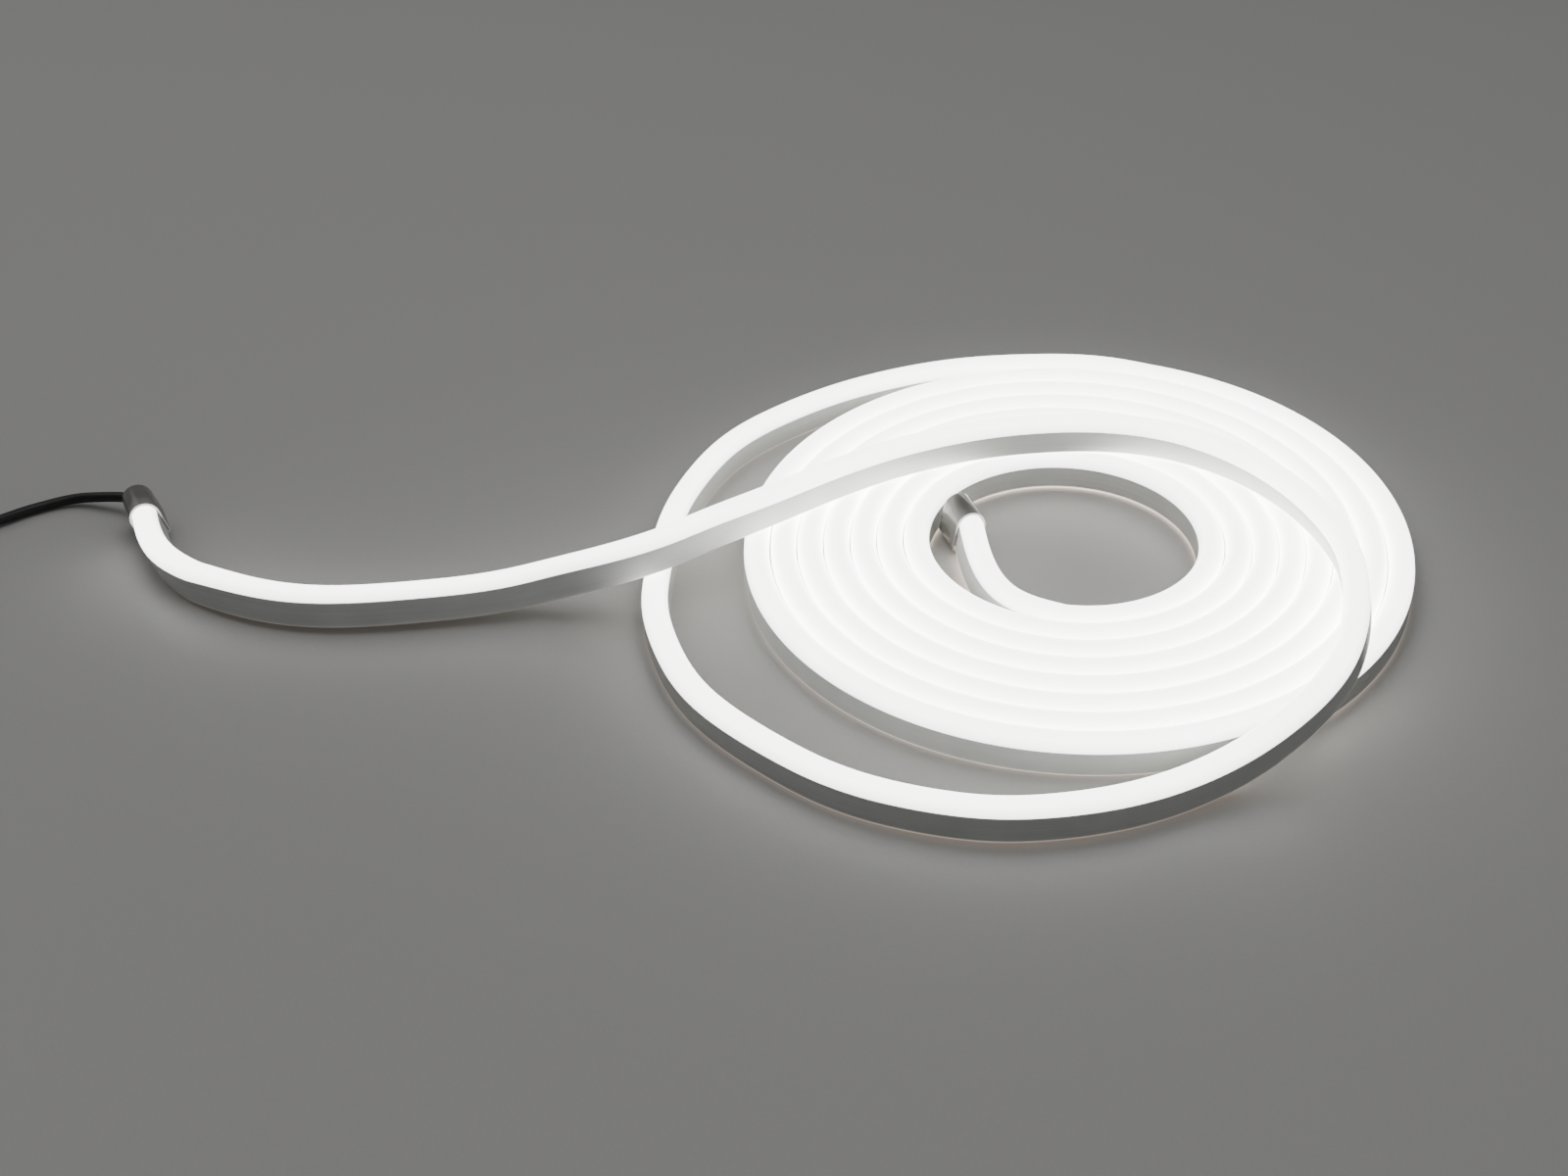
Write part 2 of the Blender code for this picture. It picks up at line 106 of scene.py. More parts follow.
OUTER_RUN = [
    (80.5, 7.1, 0, 0), (95.7, 6.5, 0, -3), (111.7, 8.0, 0, -6.7), (130.9, 11.4, 0, -5.2),
    (151.3, 17.9, 0, -2.3), (170.6, 21.4, 0, 1.3), (188.1, 26.7, 0, 2.3), (199.8, 32.8, 0, 4.1),
    (213.9, 38.2, 0, 5.3), (226.8, 39.4, 0, 2.6), (240.9, 40.4, 0, -2), (255.4, 36.8, 0, -5.1),
    (268.5, 27.9, 0, -4.2), (278.6, 19.8, 0.03, -3.1), (286.1, 15.6, 0.23, -1.8),
    (293.3, 12.5, 0.58, 0), (300.5, 8.9, 0.93, -0.3), (309.2, 2.5, 1.02, -4.4),
    (323.7, -9.3, 1, -9.3), (340.8, -20.4, 1, -13.4), (354.3, -29.2, 1, -15.6),
    (7.6, -36.5, 1, -16.1), (24.3, -44.2, 1, -14.3), (41.6, -50.9, 1, -10), (59.8, -56.8, 1, -5.7),
    (79.1, -61.4, 1, -2.5), (98.9, -62.9, 1, -0.5), (119.7, -60.0, 1, 0), (140.3, -52.3, 1, 0),
    (155.2, -42.0, 1, 0.5), (167.6, -29.0, 1, 1.2), (176.9, -14.3, 1, 2.4), (182.4, -1.6, 1, 4.6),
    (187.1, 13.1, 1, 8.4), (190.6, 25.9, 1.01, 9.6), (191.3, 32.8, 1, 10.7),
    (191.9, 39.7, 0.905, 12), (191.8, 46.6, 0.775, 12.3), (191.2, 53.1, 0.62, 12.8),
    (190.7, 60.0, 0.46, 13.4), (190.4, 67.4, 0.31, 13.9), (190.1, 84.3, 0.09, 15.4),
    (190.0, 100.5, 0.03, 16.6), (189.85, 116.6, 0.015, 16.7), (189.55, 129.7, 0, 16.2),
    (188.95, 142.5, 0, 15.1), (188.0, 154.9, 0, 12.4), (186.7, 166.8, 0.02, 10.3),
    (185.25, 177.0, 0.05, 4.1), (183.6, 185.9, 0.08, -7), (181.7, 193.5, 0.11, -18.3)]
OUTER_MOUTH = (178.15, 201.8)
OUTER_HEADING = 113.5
OUTER_ROLL = -19
ROUTE_STEP = 3
ROUTE_IRONING = 300

# End caps: a sleeve with a closed back, the strip's place in it, where round the coil the inner
# cap's back corner nearly touches a turn, and the rounded edges
CAP_LENGTH = 14.5
CAP_WALL = 0.7
CAP_CLEARANCE = 0.3
CAP_POCKET = 11
CAP_SKIN = CAP_WALL + CAP_CLEARANCE
CAP_TO_TURN = 0.35
CORNER_ANGLE = 518.6
CAP_BACK_RADIUS = 0.8
CAP_MOUTH_RADIUS = 0.25
CAP_FOOT_RADIUS = 0.8

# The lead: its points are counted from the outer cap's mouth, and its rest is a coil that a wire
# tie holds: a ribbon with a bead over its wire
LEAD_DIAMETER = 3.6
LEAD_HEIGHT_IN_CAP = 4.6
LEAD_STRAIGHT = 2.5
FACE_GAP = 0.3
LEAD_POINTS = [
    (-14.5, 19.8, 6.2), (-19.2, 21.2, 5.3), (-24.7, 23.0, 4.3), (-30.4, 24.2, 3.2),
    (-35.4, 24.9, 2.4), (-43.1, 21.7, 1.9), (-51.0, 17.2, 1.9), (-58.1, 11.2, 2.1),
    (-64.8, 7.5, 2.6)]
LEAD_STEP = 2.5
LEAD_IRONING = 30
LEAD_COIL_MIDDLE = (-87.8, -15.2)
LEAD_COIL_RADIUS = 20
LEAD_COIL_WIDTH = 7.5
LEAD_COIL_HEIGHT = 7.5
LEAD_COIL_BEVEL = 1.2
LEAD_END_ANGLE = 53.4
LEAD_END_OFF = 1.25
LEAD_END_HEIGHT = 2.9
TIE_THICKNESS = 0.8
TIE_WIDTH = 5.0
TIE_CLEARANCE = 0.3
TIE_REACH = TIE_THICKNESS + TIE_CLEARANCE
TIE_ANGLE = -40
TIE_RIBBON = 0.45
TIE_BEAD = 0.8
# How far the lead comes down beside the tie, the degrees between points of its turns, and where
# they change their place in the coil: angle, side (1 far from the middle, -1 near it) and layer
LEAD_SETTLING = TIE_REACH + 0.1
LEAD_TURN_STEP = 9
LEAD_TURNS = [
    (85, 1, 0), (335, 1, 0), (440, -1, 0), (650, -1, 0), (725, -1, 1), (915, -1, 1), (1010, 1, 1),
    (1260, 1, 1)]
# The tie's twisted ends lean inwards and down into the coil's hole: distance from the ribbon,
# height and roll of each bend
TWIST_BENDS = [
    (0, 6.9, 0), (1.4, 7.5, 70), (3.4, 7.2, 180), (5.6, 6.1, 310), (7.8, 4.6, 450), (9.8, 3.1, 580),
    (11.6, 2.1, 690)]
TWIST_STEP = 0.3
TWIST_WIDTH = 3.0
TWIST_THICKNESS = 1.6
TWIST_EDGE = 0.6

# The plug: a ribbed strain relief up to its shoulder, a grip with grooves, and a metal barrel round
# an insulator with a bore
PLUG_LENGTH = 27
PLUG_DIAMETER = 9.5
PLUG_NECK = 5.2
PLUG_SHOULDER = 11
RELIEF_END = PLUG_SHOULDER - 2.5
RELIEF_RIBS = 5
RELIEF_GROWTH = 0.12
RELIEF_DEPTH = 0.55
GRIP_START = PLUG_SHOULDER + 3
GRIP_GROOVES = 5
GRIP_PITCH = 2.1
GRIP_DEPTH = 0.35
BARREL_DIAMETER = 5.5
BARREL_LENGTH = 9.5
BARREL_WALL = 0.5
CORE_RADIUS = BARREL_DIAMETER / 2 - 0.55
CORE_BORE = 1.25
CORE_START = 1.5

# How many steps make a turned body round, and the angle past which an edge of a cap, plug or tie is
# shaded sharp
TURNED_STEPS = 48
SHARP_EDGE = 40


def linear(channel):
    return channel / 12.92 if channel <= 0.04045 else ((channel + 0.055) / 1.055) ** 2.4


def colour(code):
    """A linear colour from an sRGB hex value."""
    return (*(linear(int(code[i:i + 2], 16) / 255) for i in (0, 2, 4)), 1)


def fill(tree, node, inputs):
    """Fills a node's inputs with values or with other nodes' outputs."""
    for key, value in inputs.items():
        if isinstance(value, bpy.types.Node):
            value = value.outputs[0]
        if isinstance(value, bpy.types.NodeSocket):
            tree.links.new(value, node.inputs[key])
        else:
            node.inputs[key].default_value = value


def add_node(tree, kind, inputs=None, **settings):
    """Adds a node, sets its properties and fills its inputs."""
    made = tree.nodes.new(kind)
    for name, value in settings.items():
        setattr(made, name, value)
    fill(tree, made, inputs or {})
    return made


def new_material(name):
    """An empty material with one Principled shader; returns it with its tree and the shader."""
    made = bpy.data.materials.new(name)
    made.use_nodes = True
    return made, made.node_tree, made.node_tree.nodes["Principled BSDF"]


def jacket_silicone():
    """White silicone, extruded: matt and dense, with faint lines that the die draws along it; a
    painted glow lies at its foot and between the turns.
    """
    made, tree, shader = new_material("white extruded silicone")
    along = add_node(tree, "ShaderNodeAttribute", attribute_name="along").outputs["Fac"]
    section = add_node(tree, "ShaderNodeAttribute", attribute_name="section")
    spot = add_node(tree, "ShaderNodeSeparateXYZ", {0: section.outputs["Vector"]})
    across, up = spot.outputs[0], spot.outputs[1]
    place = add_node(tree, "ShaderNodeTexCoord").outputs["Object"]
    # Die lines are about 0.3 mm apart and run on for some 60 mm
    unrolled = add_node(tree, "ShaderNodeCombineXYZ", {0: along, 1: up, 2: across})
    drawn = add_node(tree, "ShaderNodeMapping", {"Vector": unrolled, "Scale": (16, 3300, 3300)})
    lines = add_node(tree, "ShaderNodeTexNoise",
                     {"Vector": drawn, "Scale": 1.0, "Detail": 3.0, "Roughness": 0.55})
    # Handling leaves soft patches, 20 to 40 mm long, that are a shade greyer
    patches = add_node(tree, "ShaderNodeTexNoise", {"Vector": place, "Scale": 38.0, "Detail": 3.0})
    # The skin's grain is about 0.25 mm, drawn at 0.5 mm so that it shows
    grain = add_node(tree, "ShaderNodeTexNoise", {"Vector": place, "Scale": 2000.0, "Detail": 2.0})
    lined = add_node(tree, "ShaderNodeMapRange", {0: lines, 1: 0.35, 2: 0.65, 3: 0.0, 4: 0.5})
    handled = add_node(tree, "ShaderNodeMapRange", {0: patches, 1: 0.4, 2: 0.7, 3: 0.0, 4: 0.5})
    tone = add_node(tree, "ShaderNodeMath", {0: lined, 1: handled}, operation="ADD")
    white = add_node(tree, "ShaderNodeMix", {0: tone, 6: colour("D6D6D3"), 7: colour("C3C4C2")},
                     data_type="RGBA")
    matt = add_node(tree, "ShaderNodeMapRange", {0: patches, 1: 0.35, 2: 0.7, 3: 0.46, 4: 0.58})
    height = add_node(tree, "ShaderNodeMath", {0: lines, 1: grain}, operation="ADD")
    bump = add_node(tree, "ShaderNodeBump",
                    {"Height": height, "Strength": 0.22, "Distance": 0.06 * MM})
    # The thin foot is given a painted warm glow, a fine line that stands in for the diodes' light
    # leaking out there: brightest round the coil's hole, and faintest in the loop and the tail
    foot = add_node(tree, "ShaderNodeMapRange",
                    {0: up, 1: 0.5 * MM, 2: 1.1 * MM, 3: 1.0, 4: 0.0})
    inmost = add_node(tree, "ShaderNodeMapRange", {0: along, 1: 0.3, 2: 0.45, 3: 1.0, 4: 0.3})
    crowded = add_node(tree, "ShaderNodeMapRange", {0: along, 1: 3.9, 2: 4.7, 3: 1.0, 4: 0.1})
    strength = add_node(tree, "ShaderNodeMath", {0: inmost, 1: crowded}, operation="MULTIPLY")
    foot_glow_share = add_node(tree, "ShaderNodeMath", {0: foot, 1: strength}, operation="MULTIPLY")
    painted_foot_glow = add_node(tree, "ShaderNodeMix",
                    {0: foot_glow_share, 6: colour("000000"), 7: colour("FFEBDD")}, data_type="RGBA")
    # Inside the coil the jacket's sides get a painted glow, most near their top, for the light that
    # the lit faces' lower edges throw into the gaps between the turns
    inward = add_node(tree, "ShaderNodeMapRange", {0: along, 1: 0.36, 2: 0.5, 3: 0.0, 4: 1.0})
    outward = add_node(tree, "ShaderNodeMapRange", {0: along, 1: 3.1, 2: 3.3, 3: 1.0, 4: 0.0})
    between = add_node(tree, "ShaderNodeMath", {0: inward, 1: outward}, operation="MULTIPLY")
    upper = add_node(tree, "ShaderNodeMapRange",
                     {0: up, 1: 0.2 * SIDE_HEIGHT * MM, 2: 0.9 * SIDE_HEIGHT * MM, 3: 0.3, 4: 1.0})
    painted_gap_glow = add_node(tree, "ShaderNodeMath", {0: between, 1: upper}, operation="MULTIPLY")
    light = add_node(tree, "ShaderNodeMix",
                     {0: painted_gap_glow, 6: painted_foot_glow.outputs[2], 7: colour("FFFFFC")}, data_type="RGBA")
    fill(tree, shader, {
        "Base Color": white.outputs[2],
        "Roughness": matt,
        "IOR": SILICONE_IOR,
        "Emission Color": light.outputs[2],
        "Emission Strength": PAINTED_GLOW_LEVEL,
        "Normal": bump})
    return made


def lit_silicone(total):
    """Milky silicone over the diodes, extruded: its crown glows evenly, its edges a little less."""
    made, tree, shader = new_material("milky lit silicone")
    along = add_node(tree, "ShaderNodeAttribute", attribute_name="along").outputs["Fac"]
    section = add_node(tree, "ShaderNodeAttribute", attribute_name="section")
    spot = add_node(tree, "ShaderNodeSeparateXYZ", {0: section.outputs["Vector"]})
    place = add_node(tree, "ShaderNodeTexCoord").outputs["Object"]
    crown = SIDE_HEIGHT + 0.75 * DOME_HEIGHT
    rise = add_node(tree, "ShaderNodeMapRange",
                    {0: spot.outputs[1], 1: SIDE_HEIGHT * MM, 2: crown * MM, 3: 0.62, 4: 1.0})
    # No diodes lie under the end caps, so the light fades out inside them
    deep, lit = 0.3 * CAP_POCKET * MM, 1.05 * CAP_POCKET * MM
    first = add_node(tree, "ShaderNodeMapRange", {0: along, 1: deep, 2: lit, 3: 0.02, 4: 1.0})
    last = add_node(tree, "ShaderNodeMapRange",
                    {0: along, 1: total - deep, 2: total - lit, 3: 0.02, 4: 1.0})
    ends = add_node(tree, "ShaderNodeMath", {0: first, 1: last}, operation="MULTIPLY")
    glow = add_node(tree, "ShaderNodeMath", {0: rise, 1: ends}, operation="MULTIPLY")
    # The milkiness isn't quite even, over some 25 mm
    cloud = add_node(tree, "ShaderNodeTexNoise", {"Vector": place, "Scale": 45.0, "Detail": 2.0})
    milky = add_node(tree, "ShaderNodeMapRange", {0: cloud, 1: 0.3, 2: 0.7, 3: 0.94, 4: 1.0})
    shade = add_node(tree, "ShaderNodeMath", {0: glow, 1: milky}, operation="MULTIPLY")
    light = add_node(tree, "ShaderNodeMix",
                     {0: shade, 6: colour("000000"), 7: colour("FFFFFC")}, data_type="RGBA")
    white = add_node(tree, "ShaderNodeMix", {0: cloud, 6: colour("F2F2F0"), 7: colour("E9EAE8")},
                     data_type="RGBA")
    satin = add_node(tree, "ShaderNodeMapRange", {0: cloud, 1: 0.3, 2: 0.7, 3: 0.38, 4: 0.46})
    # The skin's grain is about 0.25 mm, drawn at 0.5 mm as on the jacket
    grain = add_node(tree, "ShaderNodeTexNoise", {"Vector": place, "Scale": 2000.0, "Detail": 2.0})
    bump = add_node(tree, "ShaderNodeBump",
                    {"Height": grain, "Strength": 0.15, "Distance": 0.05 * MM})
    fill(tree, shader, {
        "Base Color": white.outputs[2],
        "Roughness": satin,
        "IOR": SILICONE_IOR,
        "Emission Color": light.outputs[2],
        "Emission Strength": LIT_LEVEL,
        "Normal": bump})
    return made


def cap_plastic():
    """Frosted clear PVC, moulded: it lets light through and scatters it; its grey is partly painted
    shade, and a painted glow lies at its edge.
    """
    made, tree, shader = new_material("frosted moulded PVC")
    place = add_node(tree, "ShaderNodeTexCoord").outputs["Object"]
    # The clear wall is a little cloudy, over some 4 mm; its grey is partly the plastic's own and
    # partly painted shade, darker than the plastic, standing in for the dark that its crown
    # reflects
    cloud = add_node(tree, "ShaderNodeTexNoise", {"Vector": place, "Scale": 260.0, "Detail": 3.0})
    smoky_and_painted_shade = add_node(tree, "ShaderNodeMix", {0: cloud, 6: colour("86857F"), 7: colour("757470")},
                     data_type="RGBA")
    gloss = add_node(tree, "ShaderNodeMapRange", {0: cloud, 1: 0.3, 2: 0.7, 3: 0.16, 4: 0.26})
    # The mould's spark texture is about 0.15 mm, drawn at 0.3 mm so that it shows
    spark = add_node(tree, "ShaderNodeTexNoise", {"Vector": place, "Scale": 3300.0, "Detail": 2.0})
    bump = add_node(tree, "ShaderNodeBump",
                    {"Height": spark, "Strength": 0.3, "Distance": 0.05 * MM})
    # A painted glow at the mouth's edge over the face stands in for the strip's light that the wall
    # guides out there
    drawn = add_node(tree, "ShaderNodeAttribute", attribute_name="spot")
    spot = add_node(tree, "ShaderNodeSeparateXYZ", {0: drawn.outputs["Vector"]})
    edge = add_node(tree, "ShaderNodeMapRange",
                    {0: spot.outputs[0], 1: 0.1 * MM, 2: 0.6 * MM, 3: 1.0, 4: 0.0})
    low, high = 0.6 * SIDE_HEIGHT * MM, 1.1 * SIDE_HEIGHT * MM
    crown = add_node(tree, "ShaderNodeMapRange",
                     {0: spot.outputs[2], 1: low, 2: high, 3: 0.12, 4: 1.0})
    painted_rim_glow = add_node(tree, "ShaderNodeMath", {0: edge, 1: crown}, operation="MULTIPLY")
    light = add_node(tree, "ShaderNodeMix",
                     {0: painted_rim_glow, 6: colour("000000"), 7: colour("FFFEFA")}, data_type="RGBA")
    fill(tree, shader, {
        "Base Color": smoky_and_painted_shade.outputs[2],
        "Roughness": gloss,
        "IOR": PVC_IOR,
        "Alpha": 0.88,
        "Emission Color": light.outputs[2],
        "Emission Strength": PAINTED_RIM_LEVEL,
        "Normal": bump})
    return made


def cable_sheath():
    """Black PVC sheath, extruded: satin, with a fine grain and a little dust."""
    made, tree, shader = new_material("black extruded PVC sheath")
    place = add_node(tree, "ShaderNodeTexCoord").outputs["Object"]
    # Dust lies in spots of 2 to 3 mm
    dust = add_node(tree, "ShaderNodeTexNoise", {"Vector": place, "Scale": 420.0, "Detail": 4.0})
    dusty = add_node(tree, "ShaderNodeMapRange", {0: dust, 1: 0.5, 2: 0.8, 3: 0.0, 4: 1.0})
    black = add_node(tree, "ShaderNodeMix", {0: dusty, 6: colour("0E0E0E"), 7: colour("232322")},
                     data_type="RGBA")
    satin = add_node(tree, "ShaderNodeMapRange", {0: dust, 1: 0.3, 2: 0.7, 3: 0.38, 4: 0.55})
    # The sheath's grain is about 0.2 mm, drawn at 0.4 mm so that it shows
    grain = add_node(tree, "ShaderNodeTexNoise", {"Vector": place, "Scale": 2500.0, "Detail": 2.0})
    bump = add_node(tree, "ShaderNodeBump",
                    {"Height": grain, "Strength": 0.3, "Distance": 0.05 * MM})
    fill(tree, shader, {
        "Base Color": black.outputs[2],
        "Roughness": satin,
        "IOR": PVC_IOR,
        "Normal": bump})
    return made


def tie_plastic():
    """Black PVC ribbon on a steel wire, extruded: satin, with creases from bending."""
    made, tree, shader = new_material("black extruded PVC ribbon")
    place = add_node(tree, "ShaderNodeTexCoord").outputs["Object"]
    # Creases lie about 1.5 mm apart
    creases = add_node(tree, "ShaderNodeTexNoise",
                       {"Vector": place, "Scale": 700.0, "Detail": 3.0})
    black = add_node(tree, "ShaderNodeMix", {0: creases, 6: colour("131313"), 7: colour("1F1F1E")},
                     data_type="RGBA")
    satin = add_node(tree, "ShaderNodeMapRange", {0: creases, 1: 0.3, 2: 0.7, 3: 0.35, 4: 0.5})
    bump = add_node(tree, "ShaderNodeBump",
                    {"Height": creases, "Strength": 0.4, "Distance": 0.1 * MM})
    fill(tree, shader, {
        "Base Color": black.outputs[2],
        "Roughness": satin,
        "IOR": PVC_IOR,
        "Normal": bump})
    return made


def plug_plastic():
    """Black PVC, moulded over the lead's end: fine spark-eroded grain with rubbed, shiny spots."""
    made, tree, shader = new_material("black moulded PVC")
    place = add_node(tree, "ShaderNodeTexCoord").outputs["Object"]
    # The mould's grain is about 0.1 mm, drawn at 0.3 mm so that it shows
    spark = add_node(tree, "ShaderNodeTexNoise", {"Vector": place, "Scale": 3300.0, "Detail": 2.0})
    bump = add_node(tree, "ShaderNodeBump",
                    {"Height": spark, "Strength": 0.35, "Distance": 0.06 * MM})
    # Fingers rub spots of some 6 mm
    rubbed = add_node(tree, "ShaderNodeTexNoise", {"Vector": place, "Scale": 160.0, "Detail": 2.0})
    black = add_node(tree, "ShaderNodeMix", {0: rubbed, 6: colour("111111"), 7: colour("1C1C1B")},
                     data_type="RGBA")
    worn = add_node(tree, "ShaderNodeMapRange", {0: rubbed, 1: 0.35, 2: 0.65, 3: 0.6, 4: 0.42})
    fill(tree, shader, {
        "Base Color": black.outputs[2],
        "Roughness": worn,
        "IOR": PVC_IOR,
        "Normal": bump})
    return made


def nickel_plate():
    """Nickel on brass, turned and plated: bright, with fine rings from turning, faintly warm."""
    made, tree, shader = new_material("nickel plated turned brass")
    place = add_node(tree, "ShaderNodeTexCoord").outputs["Object"]
    # Turning rings are about 0.1 mm apart along the barrel, which lies along Y
    lathed = add_node(tree, "ShaderNodeMapping", {"Vector": place, "Scale": (60, 9000, 60)})
    rings = add_node(tree, "ShaderNodeTexNoise", {"Vector": lathed, "Scale": 1.0, "Detail": 2.0})
    bright = add_node(tree, "ShaderNodeMix", {0: rings, 6: colour("D2CFC8"), 7: colour("C2BFB8")},
                      data_type="RGBA")
    polish = add_node(tree, "ShaderNodeMapRange", {0: rings, 1: 0.3, 2: 0.7, 3: 0.16, 4: 0.28})
    bump = add_node(tree, "ShaderNodeBump",
                    {"Height": rings, "Strength": 0.2, "Distance": 0.03 * MM})
    fill(tree, shader, {
        "Base Color": bright.outputs[2],
        "Metallic": 1.0,
        "Roughness": polish,
        "Normal": bump})
    return made


def floor_paper():
    """Pale studio paper, rolled: plain and satin, with the faintest fibre."""
    made, tree, shader = new_material("pale studio paper")
    place = add_node(tree, "ShaderNodeTexCoord").outputs["Object"]
    # Fibres are about 1 mm long
    fibre = add_node(tree, "ShaderNodeTexNoise", {"Vector": place, "Scale": 900.0, "Detail": 3.0})
    pale = add_node(tree, "ShaderNodeMix", {0: fibre, 6: colour("C6C5C2"), 7: colour("BFBEBB")},
                    data_type="RGBA")
    fill(tree, shader, {
        "Base Color": pale.outputs[2],
        "Roughness": 0.38,
        "IOR": PAPER_IOR})
    return made


def on_coil(degrees):
    """A point of the spiral's middle line."""
    angle = math.radians(degrees)
    turns = angle / math.tau
    share = turns / COIL_TURNS
    radius = COIL_RADIUS + COIL_PITCH * turns
    radius += (OVAL[0] + share * OVAL_GROWTH[0]) * math.cos(2 * angle)
    radius += (OVAL[1] + share * OVAL_GROWTH[1]) * math.sin(2 * angle)
    x = radius * math.cos(angle) + (1 - share) * DRIFT[0]
    y = radius * math.sin(angle) + (1 - share) * DRIFT[1]
    return x, y, 0, 0


def smooth_line(points, step, lead_in=0, lead_out=0):
    """Points about a step apart on a smooth curve through the given points, its ends included.

    The first lead_in and the last lead_out points are there for the curve's direction only.
    """
    line = []
    for index in range(lead_in, len(points) - 1 - lead_out):
        near = [Vector(points[max(0, min(len(points) - 1, index + k))]) for k in (-1, 0, 1, 2)]
        before, start, end, after = near
        count = max(1, round((end - start).to_3d().length / step))
        for part in range(count):
            t = part / count
            point = 0.5 * (2 * start + (end - before) * t
                           + (2 * before - 5 * start + 4 * end - after) * t ** 2
                           + (3 * start - before - 3 * end + after) * t ** 3)
            line.append((point[0], point[1], max(0, point[2]), *point[3:]))
    line.append(tuple(points[len(points) - 1 - lead_out]))
    return line


def ironed(points, rounds):
    """Takes small kinks out of a line of even steps and keeps its larger bends and its ends.

    Each round moves every point halfway towards the middle of its neighbours, and then a little
    more than that back.
    """
    for share in (0.5, -0.51) * rounds:
        moved = [tuple(b + share * ((a + c) / 2 - b) for a, b, c in zip(*three))
                 for three in zip(points, points[1:], points[2:])]
        points = [points[0], *moved, points[-1]]
    return points


def around(radius, points):
    """Turns an angle and a distance outside a radius into X and Y from the coil's middle."""
    turned_points = []
    for angle, distance, *rest in points:
        reach = radius + distance
        x = reach * math.cos(math.radians(angle))
        y = reach * math.sin(math.radians(angle))
        turned_points.append((x, y, *rest))
    return turned_points


def raised(points):
    """Turns the share of TOP into a height."""
    return [(x, y, share * TOP, roll) for x, y, share, roll in points]


def edge_lift(roll):
    """How far the underside's middle stands above its lower edge."""
    return FLEX_WIDTH / 2 * abs(math.sin(math.radians(roll)))


def in_cap(mouth, heading, roll, depth):
    """The strip's lower edge a depth inside a cap that rests on the floor."""
    x = mouth[0] + depth * math.cos(math.radians(heading))
    y = mouth[1] + depth * math.sin(math.radians(heading))
    angle = abs(math.radians(roll))
    return x, y, CAP_SKIN * (math.sin(angle) + math.cos(angle)), roll


def place_on_floor(points):
    """Moves points from the coil's middle to the object's origin."""
    return [(x + COIL_MIDDLE[0], y + COIL_MIDDLE[1], *rest) for x, y, *rest in points]


def inner_mouth():
    """The inner cap's mouth, placed from the cap's back corner."""
    turn = math.radians(CORNER_ANGLE)
    x, y, *_ = on_coil(CORNER_ANGLE)
    inwards = FLEX_WIDTH / 2 + CAP_TO_TURN
    corner = Vector((x - inwards * math.cos(turn), y - inwards * math.sin(turn)))
    roll = math.radians(INNER_ROLL)
    reach = (FLEX_WIDTH / 2 + CAP_SKIN) * math.cos(roll) + CAP_SKIN * math.sin(roll)
    heading = math.radians(INNER_HEADING)
    ahead = Vector((math.cos(heading), math.sin(heading)))
    left = Vector((-ahead.y, ahead.x))
    return tuple(corner - CAP_LENGTH * ahead - reach * left)


def outer_mouth():
    return around(COIL_RIM, [OUTER_MOUTH])[0]


def from_outer_mouth(points):
    """Moves points from the outer cap's mouth to the object's origin."""
    mouth_x, mouth_y = place_on_floor([outer_mouth()])[0]
    return [(x + mouth_x, y + mouth_y, *rest) for x, y, *rest in points]


def flex_route():
    """The underside's middle line and roll from the inner end to the outer one."""
    end = CAP_POCKET - CAP_CLEARANCE
    mouth = -CAP_CLEARANCE
    inner = [in_cap(inner_mouth(), INNER_HEADING, -INNER_ROLL, depth) for depth in (end, mouth)]
    outer = [in_cap(outer_mouth(), OUTER_HEADING, OUTER_ROLL, depth) for depth in (mouth, end)]
    coil = [on_coil(angle) for angle in range(COIL_START, COIL_END + 1, COIL_STEP)]
    coil_start = [on_coil(COIL_START), on_coil(COIL_START + COIL_LEAD_IN)]
    coil_end = [on_coil(COIL_END - COIL_LEAD_IN), on_coil(COIL_END)]
    inner_run = raised(around(COIL_RADIUS, INNER_RUN))
    outer_run = raised(around(COIL_RIM, OUTER_RUN))
    start = smooth_line(inner + inner_run + coil_start, ROUTE_STEP, lead_in=1, lead_out=1)
    start = ironed(start, ROUTE_IRONING)
    finish = smooth_line(coil_end + outer_run + outer, ROUTE_STEP, lead_in=1, lead_out=1)
    finish = ironed(finish, ROUTE_IRONING)
    straight_in = smooth_line(inner, ROUTE_STEP)
    straight_out = smooth_line(outer, ROUTE_STEP)
    edges = place_on_floor(straight_in[:-1] + start[:-1] + coil[:-1] + finish[:-1] + straight_out)
    return [(x, y, z + edge_lift(roll), roll) for x, y, z, roll in edges]


def cap_stand(mouth, heading, roll):
    """The matrix that sets a cap, drawn along X with its mouth at 0, on the floor."""
    x, y, z, _ = place_on_floor([in_cap(mouth, heading, roll, 0)])[0]
    return (Matrix.Translation(Vector((x, y, z + edge_lift(roll))) * MM)
            @ Matrix.Rotation(math.radians(heading), 4, "Z")
            @ Matrix.Rotation(math.radians(roll), 4, "X"))


def link(made):
    bpy.context.collection.objects.link(made)
    return made


def path_length(points):
    """The length of a line through points, in metres."""
    places = [Vector(point[:3]) for point in points]
    return sum((b - a).length for a, b in zip(places, places[1:])) * MM


